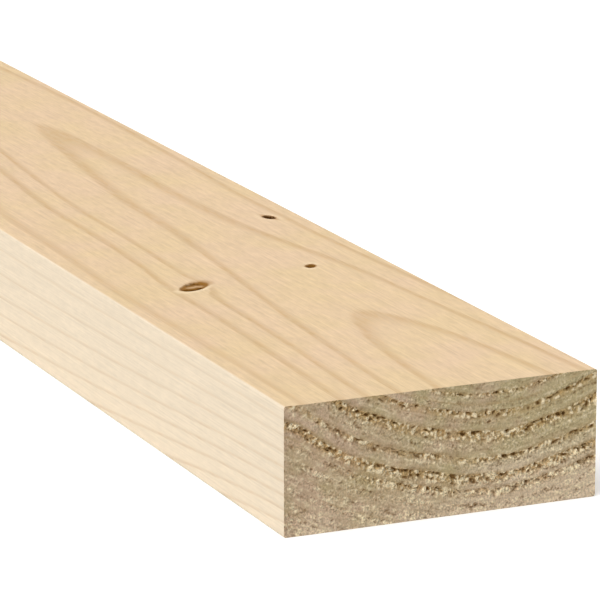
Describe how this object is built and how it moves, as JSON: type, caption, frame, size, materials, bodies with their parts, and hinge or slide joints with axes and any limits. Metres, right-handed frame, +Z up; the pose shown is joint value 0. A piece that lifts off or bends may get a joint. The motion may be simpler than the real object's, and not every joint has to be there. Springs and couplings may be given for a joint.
{
  "type": "timber plank",
  "caption": "Straight dressed softwood plank of rectangular section with just-eased long edges, square sawn ends and small sunken face knots; framing and general joinery stock.",
  "frame": {"origin": "centre of the underside, half way along the length and half way across the width", "axes": "+X along the grain, towards the end nearest to the knots; +Y across the wide face; +Z up, square to the wide face that carries the knots"},
  "size_m": [2.4, 0.09, 0.035],
  "materials": {
    "timber": "planed faces and sawn ends, bare, with no coating"
  },
  "bodies": {
    "root": {"plank": "timber"}
  },
  "joints": []
}
